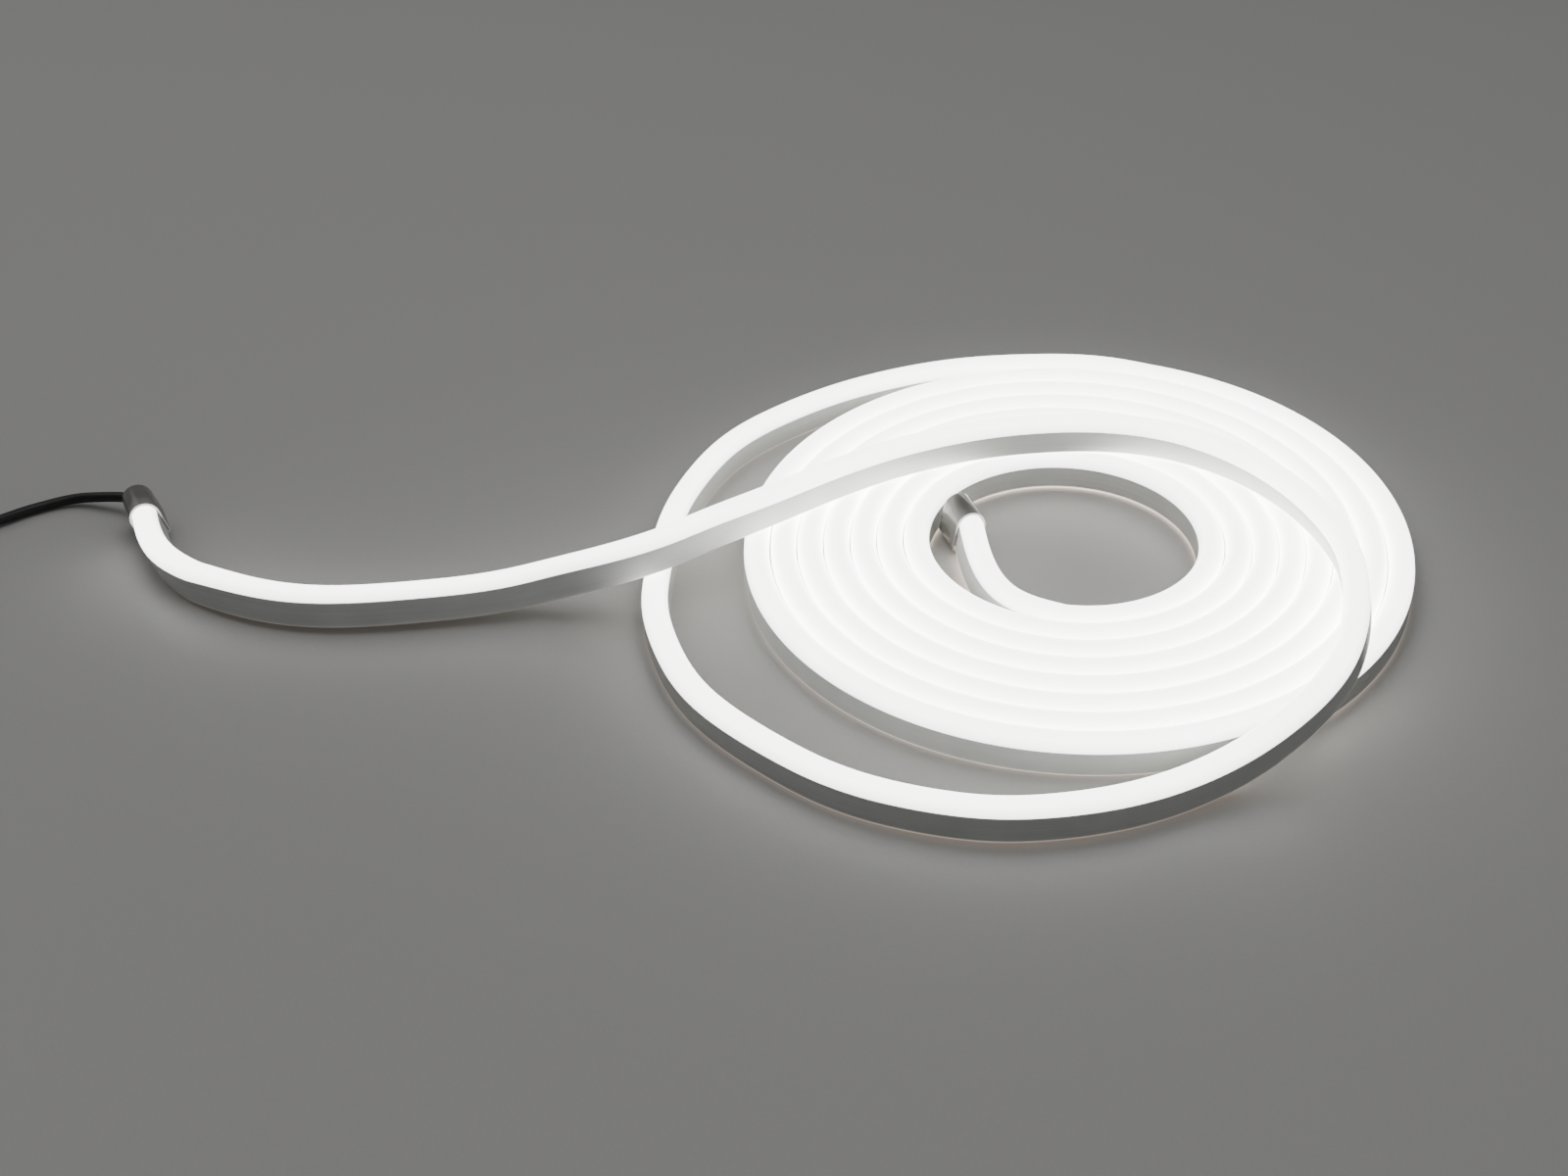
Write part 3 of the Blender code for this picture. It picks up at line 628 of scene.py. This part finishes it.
def sweep_tree(name, draw_section, sizes):
    """A tree that draws one section all along a curve; draw_section gets it with its inputs."""
    tree = bpy.data.node_groups.new(name, "GeometryNodeTree")
    tree.interface.new_socket("Geometry", in_out="INPUT", socket_type="NodeSocketGeometry")
    for size in sizes:
        tree.interface.new_socket(size, in_out="INPUT", socket_type="NodeSocketFloat")
    tree.interface.new_socket("Surface", in_out="INPUT", socket_type="NodeSocketMaterial")
    tree.interface.new_socket("Geometry", in_out="OUTPUT", socket_type="NodeSocketGeometry")
    given = tree.nodes.new("NodeGroupInput").outputs
    length = add_node(tree, "GeometryNodeSplineParameter").outputs["Length"]
    route = add_node(tree, "GeometryNodeStoreNamedAttribute",
                     {"Geometry": given["Geometry"], "Name": "along", "Value": length},
                     data_type="FLOAT", domain="POINT")
    upright = add_node(tree, "GeometryNodeSetCurveNormal", {"Curve": route}, mode="Z_UP")
    spot = add_node(tree, "GeometryNodeInputPosition")
    drawn = add_node(tree, "GeometryNodeStoreNamedAttribute",
                     {"Geometry": draw_section(tree, given), "Name": "section", "Value": spot},
                     data_type="FLOAT_VECTOR", domain="POINT")
    # Y of a section points down once it is on the curve, so it is turned over, and later its faces
    upturned = add_node(tree, "GeometryNodeTransform", {"Geometry": drawn, "Scale": (1, -1, 1)})
    body = add_node(tree, "GeometryNodeCurveToMesh",
                    {"Curve": upright, "Profile Curve": upturned, "Fill Caps": True})
    outward = add_node(tree, "GeometryNodeFlipFaces", {"Mesh": body})
    real = add_node(tree, "GeometryNodeRealizeInstances", {"Geometry": outward})
    coated = add_node(tree, "GeometryNodeSetMaterial",
                      {"Geometry": real, "Material": given["Surface"]})
    add_node(tree, "NodeGroupOutput", {"Geometry": coated})
    return tree


def channel_section(tree, given):
    """The jacket's outline: a box with round feet and a fine lip, standing on the origin."""
    box = add_node(tree, "GeometryNodeCurvePrimitiveQuadrilateral",
                   {"Width": given["Width"], "Height": given["Side height"]})
    spot = add_node(tree, "ShaderNodeSeparateXYZ", {0: add_node(tree, "GeometryNodeInputPosition")})
    above = add_node(tree, "FunctionNodeCompare", {0: spot.outputs[1], 1: 0.0},
                     data_type="FLOAT", operation="GREATER_THAN")
    radius = add_node(tree, "GeometryNodeSwitch",
                      {"Switch": above, "False": given["Foot radius"], "True": given["Lip radius"]},
                      input_type="FLOAT")
    round_box = add_node(tree, "GeometryNodeFilletCurve",
                         {"Curve": box, "Radius": radius, "Count": 4, "Limit Radius": True},
                         mode="POLY")
    half = add_node(tree, "ShaderNodeMath", {0: given["Side height"], 1: 0.5}, operation="MULTIPLY")
    lift = add_node(tree, "ShaderNodeCombineXYZ", {1: half})
    return add_node(tree, "GeometryNodeTransform", {"Geometry": round_box, "Translation": lift})


def dome_section(tree, given):
    """The lit face's outline: half an ellipse on a flat base."""
    radius = add_node(tree, "ShaderNodeMath", {0: given["Width"], 1: 0.5}, operation="MULTIPLY")
    arc = add_node(tree, "GeometryNodeCurveArc",
                   {"Resolution": 25, "Radius": radius, "Start Angle": 0.0, "Sweep Angle": math.pi})
    closed = add_node(tree, "GeometryNodeSetSplineCyclic", {"Geometry": arc, "Cyclic": True})
    share = add_node(tree, "ShaderNodeMath", {0: given["Crown"], 1: radius}, operation="DIVIDE")
    scale = add_node(tree, "ShaderNodeCombineXYZ", {0: 1.0, 1: share, 2: 1.0})
    lift = add_node(tree, "ShaderNodeCombineXYZ", {1: given["Springing"]})
    return add_node(tree, "GeometryNodeTransform", {"Geometry": closed, "Scale": scale,
                                                    "Translation": lift})


def round_section(tree, given):
    """A cord's round outline."""
    return add_node(tree, "GeometryNodeCurvePrimitiveCircle",
                    {"Resolution": 20, "Radius": given["Radius"]}).outputs["Curve"]


def swept(name, route, draw_section, sizes, surface, sharp=35):
    """A plain mesh swept along a route of X, Y, Z and roll in millimetres and degrees."""
    data = bpy.data.curves.new(name + "_route", "CURVE")
    data.dimensions = "3D"
    data.twist_mode = "Z_UP"
    spline = data.splines.new("POLY")
    spline.points.add(len(route) - 1)
    for target, (x, y, z, roll) in zip(spline.points, route):
        target.co = (x * MM, y * MM, z * MM, 1)
        target.tilt = math.radians(roll)
    guide = link(bpy.data.objects.new(name + "_route", data))
    tree = sweep_tree(name + " sweep", draw_section, sizes)
    modifier = guide.modifiers.new("sweep", "NODES")
    modifier.node_group = tree
    sockets = {item.name: item.identifier for item in tree.interface.items_tree
               if item.in_out == "INPUT"}
    for size, value in sizes.items():
        modifier[sockets[size]] = value * MM
    modifier[sockets["Surface"]] = surface
    return baked(name, guide, sharp)


def baked(name, source, sharp):
    """A plain mesh object from what an object's modifiers make of it; the source is removed."""
    bpy.context.view_layer.update()
    graph = bpy.context.evaluated_depsgraph_get()
    mesh = bpy.data.meshes.new_from_object(source.evaluated_get(graph), depsgraph=graph)
    mesh.name = name
    mesh.transform(source.matrix_world)
    bpy.data.objects.remove(source, do_unlink=True)
    mesh.shade_smooth()
    mesh.set_sharp_from_angle(angle=math.radians(sharp))
    return link(bpy.data.objects.new(name, mesh))


def arch_ring(grown, along):
    """The strip's outline grown by a wall, at a place along X, from its right foot to its left."""
    half = FLEX_WIDTH / 2 + grown
    foot = CAP_FOOT_RADIUS + max(0, grown - CAP_CLEARANCE)
    right = [(half - foot + foot * math.cos(angle), -grown + foot + foot * math.sin(angle))
             for angle in (math.radians(-90 + 22.5 * step) for step in range(5))]
    dome = [(half * math.cos(angle), SIDE_HEIGHT + (DOME_HEIGHT + grown) * math.sin(angle))
            for angle in (math.pi * step / 24 for step in range(25))]
    left = [(-half + foot + foot * math.cos(angle), -grown + foot + foot * math.sin(angle))
            for angle in (math.radians(180 + 22.5 * step) for step in range(5))]
    return [Vector((along, x, y)) * MM for x, y in right + dome + left]


def skin(body, loops):
    """Joins each closed loop of vertices with the next by faces."""
    for lower, upper in zip(loops, loops[1:]):
        for index in range(len(lower)):
            after = (index + 1) % len(lower)
            body.faces.new((lower[index], lower[after], upper[after], upper[index]))


def moulded_cap(name, stand, surface):
    """A sleeve with a closed back, lofted from rings that round its edges."""
    rings = []
    for step in range(5):
        angle = math.radians(22.5 * step)
        rings.append((CAP_SKIN - CAP_BACK_RADIUS * (1 - math.sin(angle)),
                      CAP_LENGTH - CAP_BACK_RADIUS * (1 - math.cos(angle))))
    for step in range(4):
        angle = math.radians(30 * step)
        rings.append((CAP_SKIN - CAP_MOUTH_RADIUS * (1 - math.cos(angle)),
                      CAP_MOUTH_RADIUS * (1 - math.sin(angle))))
    rings += [(CAP_CLEARANCE + 0.1, 0), (CAP_CLEARANCE, 0.15), (CAP_CLEARANCE, CAP_POCKET)]
    body = bmesh.new()
    loops = [[body.verts.new(point) for point in arch_ring(*ring)] for ring in rings]
    skin(body, loops)
    body.faces.new(loops[0])
    body.faces.new(list(reversed(loops[-1])))
    spot = body.verts.layers.float_vector.new("spot")
    for vert in body.verts:
        vert[spot] = vert.co
    return finished_mesh(name, body, stand, surface)


def finished_mesh(name, body, stand, surface):
    """A mesh object from a bmesh, moved to its place, with its faces outwards."""
    bmesh.ops.recalc_face_normals(body, faces=body.faces)
    body.transform(stand)
    mesh = bpy.data.meshes.new(name)
    body.to_mesh(mesh)
    body.free()
    mesh.materials.append(surface)
    mesh.shade_smooth()
    mesh.set_sharp_from_angle(angle=math.radians(SHARP_EDGE))
    return link(bpy.data.objects.new(name, mesh))


def turned(name, profile, stand, surface):
    """A body turned about Z from an outline of radius and height in millimetres."""
    body = bmesh.new()
    verts = [body.verts.new((radius * MM, 0, height * MM)) for radius, height in profile]
    edges = [body.edges.new(pair) for pair in zip(verts, verts[1:])]
    if profile[0][0] > 0:
        edges.append(body.edges.new((verts[-1], verts[0])))
    bmesh.ops.spin(body, geom=verts + edges, cent=(0, 0, 0), axis=(0, 0, 1), angle=math.tau,
                   steps=TURNED_STEPS, use_merge=True)
    bmesh.ops.remove_doubles(body, verts=body.verts, dist=0.001 * MM)
    return finished_mesh(name, body, stand, surface)


def ribbed_plug(surface, metal):
    """The moulded DC plug, lying on its side: ribbed strain relief, grooved grip and barrel."""
    half = PLUG_DIAMETER / 2
    neck = PLUG_NECK / 2
    outline = [(0, 0), (neck - 0.3, 0), (neck, 0.3)]
    for rib in range(RELIEF_RIBS):
        start = 1 + rib * (RELIEF_END - 1) / RELIEF_RIBS
        top = neck + RELIEF_GROWTH * rib
        foot = top - RELIEF_DEPTH
        outline += [(top, start - 0.1), (foot, start + 0.15), (foot, start + 0.6),
                    (top, start + 0.85)]
    outline += [(neck + 0.7, RELIEF_END), (half - 0.5, PLUG_SHOULDER - 0.2),
                (half, PLUG_SHOULDER + 0.6)]
    for groove in range(GRIP_GROOVES):
        start = GRIP_START + groove * GRIP_PITCH
        deep = half - GRIP_DEPTH
        outline += [(half, start), (deep, start + 0.25), (deep, start + 0.75), (half, start + 1)]
    outline += [(half, PLUG_LENGTH - 0.8), (half - 0.25, PLUG_LENGTH - 0.25),
                (half - 0.8, PLUG_LENGTH), (0, PLUG_LENGTH)]
    x, y = from_outer_mouth([LEAD_COIL_MIDDLE])[0]
    start = y - plug_reach()
    lying = Matrix.Rotation(math.radians(90), 4, "X")
    across = x - LEAD_COIL_RADIUS
    stand = Matrix.Translation(Vector((across, start, half)) * MM) @ lying
    handle = turned("plug_grip", outline, stand, surface)
    tip = Matrix.Translation(Vector((across, start - PLUG_LENGTH, half)) * MM) @ lying
    sleeve = BARREL_DIAMETER / 2
    inside = sleeve - BARREL_WALL
    length = BARREL_LENGTH + FACE_GAP
    tube = [(sleeve, 0.05), (sleeve, length - 0.4), (sleeve - 0.12, length - 0.1),
            (sleeve - 0.35, length), (inside, length - 0.15), (inside, 0.05)]
    barrel = turned("plug_barrel", tube, tip, metal)
    face = length - 0.5
    core = [(CORE_BORE, CORE_START), (CORE_RADIUS, CORE_START), (CORE_RADIUS, face - 0.2),
            (CORE_RADIUS - 0.15, face), (CORE_BORE + 0.15, face), (CORE_BORE, face - 0.15)]
    insulator = turned("plug_insulator", core, tip, surface)
    return handle, barrel, insulator


def ribbon_section(tree, given):
    """A flat ribbon's outline with round edges."""
    box = add_node(tree, "GeometryNodeCurvePrimitiveQuadrilateral",
                   {"Width": given["Width"], "Height": given["Thickness"]})
    return add_node(tree, "GeometryNodeFilletCurve",
                    {"Curve": box, "Radius": given["Edge"], "Count": 3, "Limit Radius": True},
                    mode="POLY")


def round_box_ring(grown, across):
    """The lead coil's outline grown by a gap, with round corners, at a place across the ribbon."""
    half = LEAD_COIL_WIDTH / 2 + grown
    middle = TIE_REACH + LEAD_COIL_HEIGHT / 2
    radius = LEAD_COIL_BEVEL + grown
    points = []
    for corner in range(4):
        centre_x = (half - radius) * (1 if corner in (0, 3) else -1)
        centre_z = (half - radius) * (1 if corner in (0, 1) else -1)
        for step in range(6):
            angle = math.radians(90 * corner + 18 * step)
            points.append(Vector((centre_x + radius * math.cos(angle), across,
                                  middle + centre_z + radius * math.sin(angle))) * MM)
    return points


def wire_tie(surface):
    """A wire tie round the coil's turns: a flat ribbon with a bead over its wire, ends twisted."""
    edge = TIE_WIDTH / 2
    thin = TIE_CLEARANCE + TIE_RIBBON
    bead = TIE_REACH - 0.1
    profile = [(TIE_CLEARANCE, -edge + 0.15), (thin - 0.1, -edge), (thin, -edge + 0.2),
               (thin, -TIE_BEAD), (bead, -0.45), (TIE_REACH, 0), (bead, 0.45), (thin, TIE_BEAD),
               (thin, edge - 0.2), (thin - 0.1, edge), (TIE_CLEARANCE, edge - 0.15)]
    body = bmesh.new()
    loops = [[body.verts.new(point) for point in round_box_ring(*place)] for place in profile]
    skin(body, loops + loops[:1])
    angle = math.radians(TIE_ANGLE)
    x, y = from_outer_mouth([LEAD_COIL_MIDDLE])[0]
    x += LEAD_COIL_RADIUS * math.cos(angle)
    y += LEAD_COIL_RADIUS * math.sin(angle)
    stand = Matrix.Translation(Vector((x, y, 0)) * MM) @ Matrix.Rotation(angle, 4, "Z")
    band = finished_mesh("wire_tie", body, stand, surface)
    ribbon = -LEAD_COIL_WIDTH / 2 - TIE_CLEARANCE - TIE_THICKNESS / 2
    line = [(*(stand @ Vector(((ribbon - off) * MM, 0, height * MM)) / MM), roll)
            for off, height, roll in TWIST_BENDS]
    twist = swept("tie_twist", smooth_line(line, TWIST_STEP), ribbon_section,
                  {"Width": TWIST_WIDTH, "Thickness": TWIST_THICKNESS, "Edge": TWIST_EDGE}, surface)
    return band, twist


def lead_route(stand):
    """The lead's middle line: out of the cap, over the floor, round in a neat coil, to its plug."""
    start = CAP_LENGTH + FACE_GAP
    ahead = (start, start + LEAD_STRAIGHT)
    straight = [tuple(stand @ Vector((x * MM, 0, LEAD_HEIGHT_IN_CAP * MM)) / MM) for x in ahead]
    angle = math.radians(LEAD_END_ANGLE)
    reach = LEAD_COIL_RADIUS + LEAD_COIL_WIDTH / 2 + LEAD_END_OFF
    left, middle = LEAD_COIL_MIDDLE
    end = (left + reach * math.cos(angle), middle + reach * math.sin(angle), LEAD_END_HEIGHT)
    low = TIE_REACH + LEAD_COIL_HEIGHT / 2 - LEAD_DIAMETER / 2
    changes = [(degrees, LEAD_COIL_RADIUS + side * LEAD_DIAMETER / 2, low + layer * LEAD_DIAMETER)
               for degrees, side, layer in LEAD_TURNS]
    turns = []
    for (from_angle, *from_place), (to_angle, *to_place) in zip(changes, changes[1:]):
        count = max(1, round((to_angle - from_angle) / LEAD_TURN_STEP))
        for step in range(count):
            share = step / count
            eased = share * share * (3 - 2 * share)
            radius, height = (a + (b - a) * eased for a, b in zip(from_place, to_place))
            turn = math.radians(from_angle + (to_angle - from_angle) * share)
            # The turns lie over the tie and come down to the floor on both sides of it
            over_tie = max(0, math.cos(turn - math.radians(TIE_ANGLE))) ** 4
            turns.append((left + radius * math.cos(turn), middle + radius * math.sin(turn),
                          height - LEAD_SETTLING * (1 - over_tie)))
    _, far, high = changes[-1]
    high -= LEAD_SETTLING
    turns.append((left - far, middle, high))
    neck_y = middle - plug_reach()
    plug_x = left - LEAD_COIL_RADIUS
    plug_z = PLUG_DIAMETER / 2
    out = [(plug_x - 1.5, middle - 6, high - 0.1), (plug_x - 0.7, middle - 11, high - 0.45),
           (plug_x - 0.05, neck_y + 0.5, plug_z + 0.05), (plug_x, neck_y - 3, plug_z)]
    seen = from_outer_mouth(LEAD_POINTS + [end] + turns + out)
    return ironed(smooth_line(straight + seen, LEAD_STEP), LEAD_IRONING)


def plug_reach():
    """How far the plug's neck starts from the lead coil's middle, along -Y."""
    outer_edge = LEAD_COIL_RADIUS + LEAD_COIL_WIDTH / 2
    return math.sqrt(outer_edge ** 2 - (LEAD_COIL_RADIUS - PLUG_NECK / 2 - FACE_GAP) ** 2)


def put_camera():
    data = bpy.data.cameras.new("camera")
    data.sensor_fit = "HORIZONTAL"
    data.sensor_width = CAMERA_SENSOR
    data.lens = CAMERA_LENS
    data.clip_start = 0.01
    data.clip_end = 50
    camera = link(bpy.data.objects.new("camera", data))
    elevation = math.radians(CAMERA_ELEVATION)
    back = Vector((0, -math.cos(elevation), math.sin(elevation)))
    camera.location = (Vector(CAMERA_TARGET) + CAMERA_DISTANCE * back) * MM
    camera.rotation_euler = (-back).to_track_quat("-Z", "Y").to_euler()
    bpy.context.scene.camera = camera


def put_light(name, place, side, power):
    """A soft square light that faces the object."""
    data = bpy.data.lights.new(name, "AREA")
    data.shape = "SQUARE"
    data.size = side
    data.energy = power
    lamp = link(bpy.data.objects.new(name, data))
    lamp.location = place
    ahead = Vector(LIGHTS_AIM) - Vector(place)
    lamp.rotation_euler = ahead.to_track_quat("-Z", "Y").to_euler()


def put_floor():
    mesh = bpy.data.meshes.new("floor")
    corners = [(x * FLOOR_REACH, y * FLOOR_REACH, -FLOOR_DROP)
               for x, y in ((-1, -1), (1, -1), (1, 1), (-1, 1))]
    mesh.from_pydata(corners, [], [(0, 1, 2, 3)])
    mesh.materials.append(floor_paper())
    link(bpy.data.objects.new("floor", mesh))


def put_studio():
    put_camera()
    put_floor()
    put_light("top softbox", *TOP_LIGHT)
    put_light("side softbox", *SIDE_LIGHT)
    world = bpy.data.worlds.new("studio")
    world.use_nodes = True
    sky = world.node_tree.nodes["Background"]
    fill(world.node_tree, sky, {"Color": colour("E8EAEC"), "Strength": SKY_LEVEL})
    bpy.context.scene.world = world


def finish_piece(piece, slot, *nodes):
    """Rides a piece on the one body, in place of its CAD nodes; its slot is not used."""
    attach(piece, "root")
    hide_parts(*nodes)


def build():
    put_studio()
    route = flex_route()
    jacket = swept("jacket_extrusion", route, channel_section,
                   {"Width": FLEX_WIDTH, "Side height": SIDE_HEIGHT, "Foot radius": FOOT_RADIUS,
                    "Lip radius": LIP_RADIUS}, jacket_silicone())
    finish_piece(jacket, "jacket", "jacket")
    lit = swept("lit_face", route, dome_section,
                {"Width": FLEX_WIDTH, "Springing": SIDE_HEIGHT + SEAM, "Crown": DOME_HEIGHT - SEAM},
                lit_silicone(path_length(route)), sharp=60)
    finish_piece(lit, "diffuser", "diffuser")
    frosted = cap_plastic()
    inner_stand = cap_stand(inner_mouth(), INNER_HEADING, INNER_ROLL)
    outer_stand = cap_stand(outer_mouth(), OUTER_HEADING, OUTER_ROLL)
    finish_piece(moulded_cap("inner_end_cap", inner_stand, frosted), "cap", "end_cap")
    finish_piece(moulded_cap("feed_end_cap", outer_stand, frosted), "cap", "feed_cap")
    sheath = cable_sheath()
    path = lead_route(outer_stand)
    lead = swept("black_lead", [(*point, 0) for point in path], round_section,
                 {"Radius": LEAD_DIAMETER / 2}, sheath, sharp=60)
    finish_piece(lead, "lead", "lead", "lead_coil")
    moulded = plug_plastic()
    handle, barrel, insulator = ribbed_plug(moulded, nickel_plate())
    finish_piece(handle, "plug", "dc_plug")
    finish_piece(barrel, "barrel", "dc_plug_barrel")
    finish_piece(insulator, "plug")
    band, twist = wire_tie(tie_plastic())
    finish_piece(band, "tie", "lead_tie")
    finish_piece(twist, "tie")


build()
